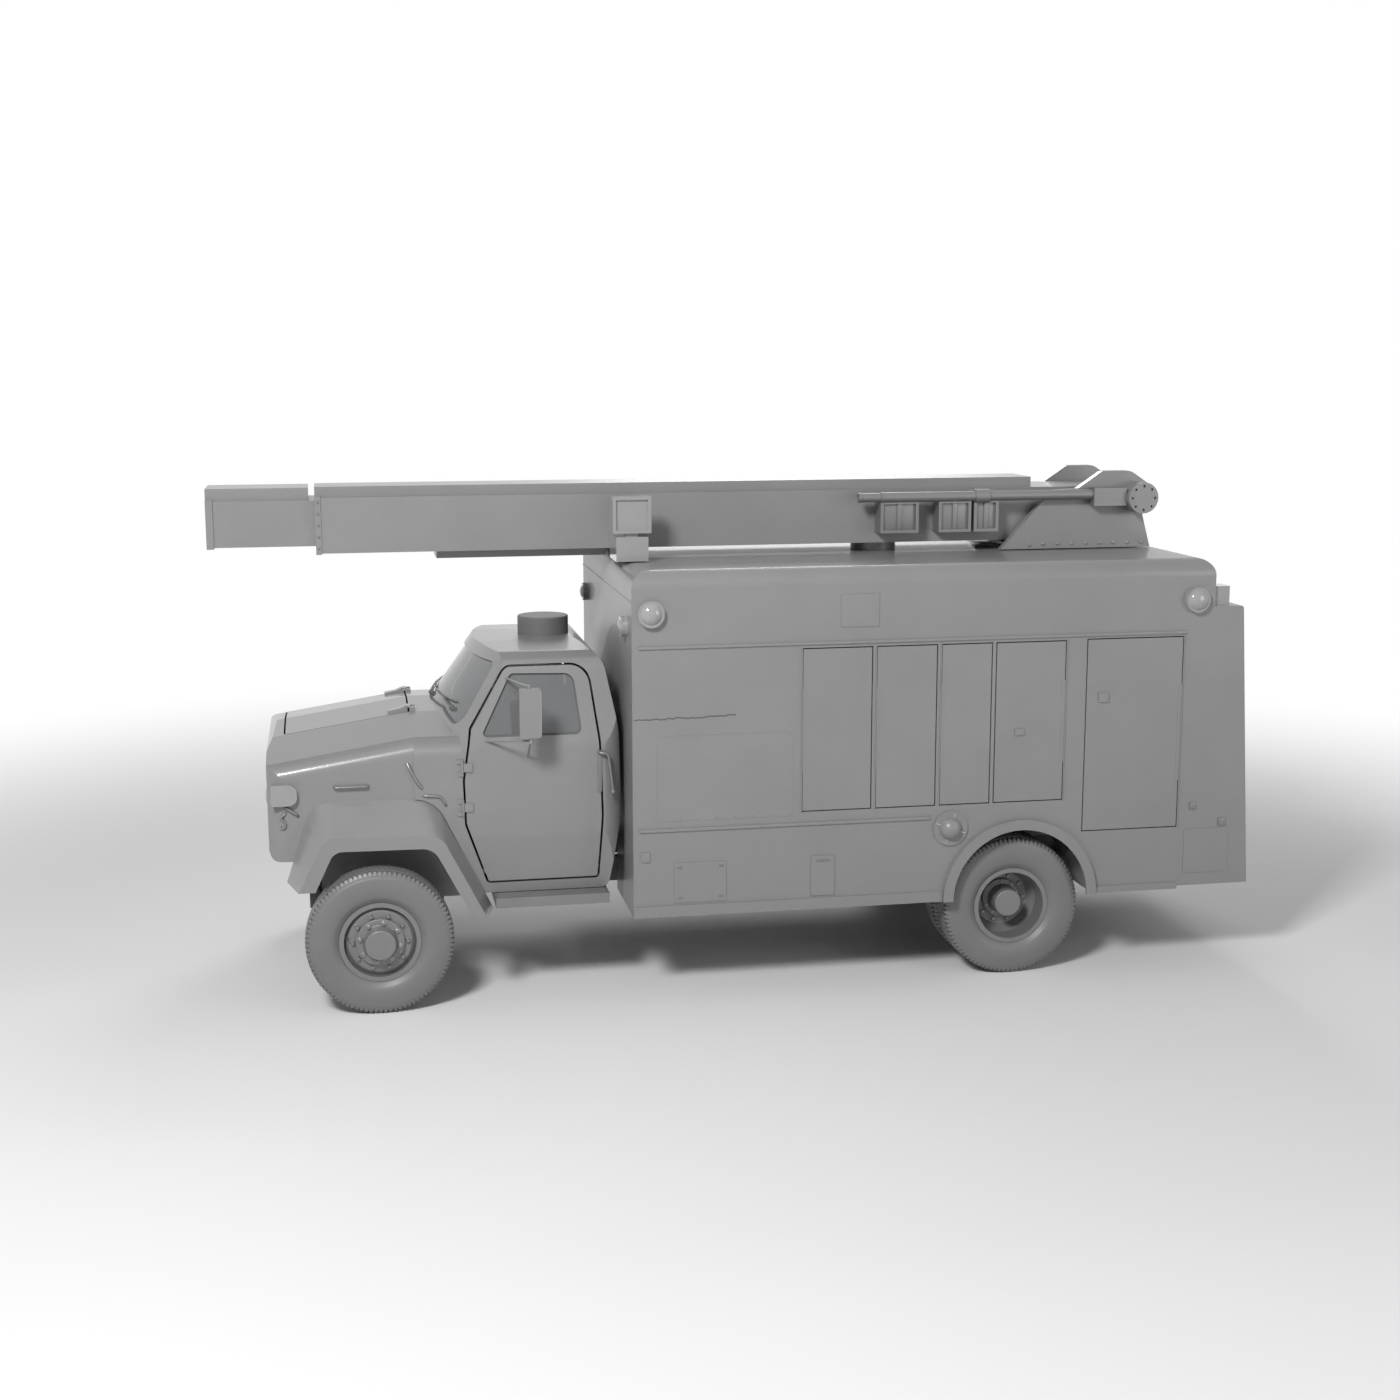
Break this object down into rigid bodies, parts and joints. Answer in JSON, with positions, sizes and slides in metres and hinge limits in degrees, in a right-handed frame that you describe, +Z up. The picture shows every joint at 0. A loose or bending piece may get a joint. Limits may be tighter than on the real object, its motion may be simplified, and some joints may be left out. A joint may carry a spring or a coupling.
{
  "type": "boom truck",
  "caption": "Conventional-cab truck with a hollow round-roofed service body and a telescopic boom on a roof turret, stowed forward over the cab.",
  "frame": {"origin": "on the ground, below the middle of the overall length and width with the boom stowed", "axes": "+X towards the nose, +Y to the truck's left, +Z up"},
  "size_m": [7.376, 2.6896, 3.5777],
  "materials": {
    "paint": "satin",
    "body_paint": "satin",
    "boom_paint": "satin",
    "chassis_steel": "matt",
    "cast_iron": "matt",
    "steel_trim": "satin",
    "pipe_steel": "satin",
    "wheel_steel": "satin",
    "tyre": "matt",
    "glass": "gloss",
    "dark_plastic": "matt",
    "lamp_plastic": "gloss",
    "seat_cover": "matt"
  },
  "bodies": {
    "truck": {"frame_rails": "chassis_steel", "engine_block": "cast_iron", "front_axle": "cast_iron", "rear_axle": "cast_iron", "leaf_springs": "chassis_steel", "fender_left": "paint", "fender_right": "paint", "cab_shell": "paint", "cab_glass": "glass", "roof_base": "dark_plastic", "running_boards": "steel_trim", "bench_seat": "seat_cover", "dashboard": "dark_plastic", "front_clip": "paint", "grille": "steel_trim", "body_side_left": "body_paint", "body_side_right": "body_paint", "body_front": "body_paint", "body_roof": "body_paint", "body_floor": "body_paint", "body_tail": "body_paint", "lamps": "lamp_plastic", "roof_fittings": "boom_paint"},
    "knuckle_left": {"knuckle_left": "cast_iron"},
    "front_wheel_left": {"wheel_front_left": "wheel_steel", "tyre_front_left": "tyre"},
    "rear_wheels_left": {"wheels_rear_left": "wheel_steel", "tyres_rear_left": "tyre"},
    "knuckle_right": {"knuckle_right": "cast_iron"},
    "front_wheel_right": {"wheel_front_right": "wheel_steel", "tyre_front_right": "tyre"},
    "rear_wheels_right": {"wheels_rear_right": "wheel_steel", "tyres_rear_right": "tyre"},
    "cab_door_left": {"cab_door_left": "paint", "door_glass_left": "glass"},
    "cab_door_right": {"cab_door_right": "paint", "door_glass_right": "glass"},
    "hood": {"hood": "paint"},
    "locker_door_1_left": {"locker_door_1_left": "body_paint"},
    "locker_door_2_left": {"locker_door_2_left": "body_paint"},
    "locker_door_3_left": {"locker_door_3_left": "body_paint"},
    "locker_door_4_left": {"locker_door_4_left": "body_paint"},
    "rear_side_door_left": {"rear_side_door_left": "body_paint"},
    "locker_door_1_right": {"locker_door_1_right": "body_paint"},
    "locker_door_2_right": {"locker_door_2_right": "body_paint"},
    "locker_door_3_right": {"locker_door_3_right": "body_paint"},
    "locker_door_4_right": {"locker_door_4_right": "body_paint"},
    "rear_side_door_right": {"rear_side_door_right": "body_paint"},
    "turret": {"turret": "boom_paint"},
    "boom": {"boom_outer": "boom_paint", "boom_pipe": "pipe_steel", "floodlights": "lamp_plastic"},
    "boom_extension": {"boom_inner": "boom_paint"}
  },
  "joints": [
    {"name": "steer_left", "type": "hinge", "parent": "truck", "child": "knuckle_left", "pos_m": [2.603, 1, 0.505], "axis": [0, 0, 1], "range_deg": [-28, 28]},
    {"name": "steer_right", "type": "hinge", "parent": "truck", "child": "knuckle_right", "pos_m": [2.603, -1, 0.505], "axis": [0, 0, 1], "range_deg": [-28.5, 28.5]},
    {"name": "front_wheel_left_spin", "type": "hinge", "parent": "knuckle_left", "child": "front_wheel_left", "pos_m": [2.603, 1.1135, 0.505], "axis": [0, 1, 0], "continuous": true},
    {"name": "front_wheel_right_spin", "type": "hinge", "parent": "knuckle_right", "child": "front_wheel_right", "pos_m": [2.603, -1.1135, 0.505], "axis": [0, 1, 0], "continuous": true},
    {"name": "rear_wheels_left_spin", "type": "hinge", "parent": "truck", "child": "rear_wheels_left", "pos_m": [-1.905, 0.9, 0.505], "axis": [0, 1, 0], "continuous": true},
    {"name": "rear_wheels_right_spin", "type": "hinge", "parent": "truck", "child": "rear_wheels_right", "pos_m": [-1.905, -0.9, 0.505], "axis": [0, 1, 0], "continuous": true},
    {"name": "cab_door_left_hinge", "type": "hinge", "parent": "truck", "child": "cab_door_left", "pos_m": [2.009, 1.012, 1.4], "axis": [0, 0, -1], "range_deg": [0, 60]},
    {"name": "cab_door_right_hinge", "type": "hinge", "parent": "truck", "child": "cab_door_right", "pos_m": [2.009, -1.012, 1.4], "axis": [0, 0, 1], "range_deg": [0, 60]},
    {"name": "hood_hinge", "type": "hinge", "parent": "truck", "child": "hood", "pos_m": [2.335, 0, 1.985], "axis": [0, -1, 0], "range_deg": [0, 50]},
    {"name": "locker_door_1_left_hinge", "type": "hinge", "parent": "truck", "child": "locker_door_1_left", "pos_m": [-0.319, 1.268, 1.8], "axis": [0, 0, -1], "range_deg": [0, 100]},
    {"name": "locker_door_2_left_hinge", "type": "hinge", "parent": "truck", "child": "locker_door_2_left", "pos_m": [-0.848, 1.268, 1.8], "axis": [0, 0, -1], "range_deg": [0, 100]},
    {"name": "locker_door_3_left_hinge", "type": "hinge", "parent": "truck", "child": "locker_door_3_left", "pos_m": [-1.316, 1.268, 1.8], "axis": [0, 0, -1], "range_deg": [0, 100]},
    {"name": "locker_door_4_left_hinge", "type": "hinge", "parent": "truck", "child": "locker_door_4_left", "pos_m": [-2.24, 1.268, 1.8], "axis": [0, 0, 1], "range_deg": [0, 100]},
    {"name": "rear_side_door_left_hinge", "type": "hinge", "parent": "truck", "child": "rear_side_door_left", "pos_m": [-3.123, 1.268, 1.8], "axis": [0, 0, 1], "range_deg": [0, 100]},
    {"name": "locker_door_1_right_hinge", "type": "hinge", "parent": "truck", "child": "locker_door_1_right", "pos_m": [-0.319, -1.268, 1.8], "axis": [0, 0, 1], "range_deg": [0, 100]},
    {"name": "locker_door_2_right_hinge", "type": "hinge", "parent": "truck", "child": "locker_door_2_right", "pos_m": [-0.848, -1.268, 1.8], "axis": [0, 0, 1], "range_deg": [0, 100]},
    {"name": "locker_door_3_right_hinge", "type": "hinge", "parent": "truck", "child": "locker_door_3_right", "pos_m": [-1.316, -1.268, 1.8], "axis": [0, 0, 1], "range_deg": [0, 100]},
    {"name": "locker_door_4_right_hinge", "type": "hinge", "parent": "truck", "child": "locker_door_4_right", "pos_m": [-2.24, -1.268, 1.8], "axis": [0, 0, -1], "range_deg": [0, 100]},
    {"name": "rear_side_door_right_hinge", "type": "hinge", "parent": "truck", "child": "rear_side_door_right", "pos_m": [-3.123, -1.268, 1.8], "axis": [0, 0, -1], "range_deg": [0, 100]},
    {"name": "boom_swing", "type": "hinge", "parent": "truck", "child": "turret", "pos_m": [-2.627, 0, 3.015], "axis": [0, 0, 1], "range_deg": [-175, 175]},
    {"name": "boom_lift", "type": "hinge", "parent": "turret", "child": "boom", "pos_m": [-3.087, 0, 3.383], "axis": [0, -1, 0], "range_deg": [0, 70]},
    {"name": "boom_extend", "type": "slide", "parent": "boom", "child": "boom_extension", "axis": [1, 0, 0], "range_m": [0, 3.5]}
  ],
  "couplings": [
    {"joint": "steer_right", "follows": "steer_left", "ratio": 1}
  ]
}
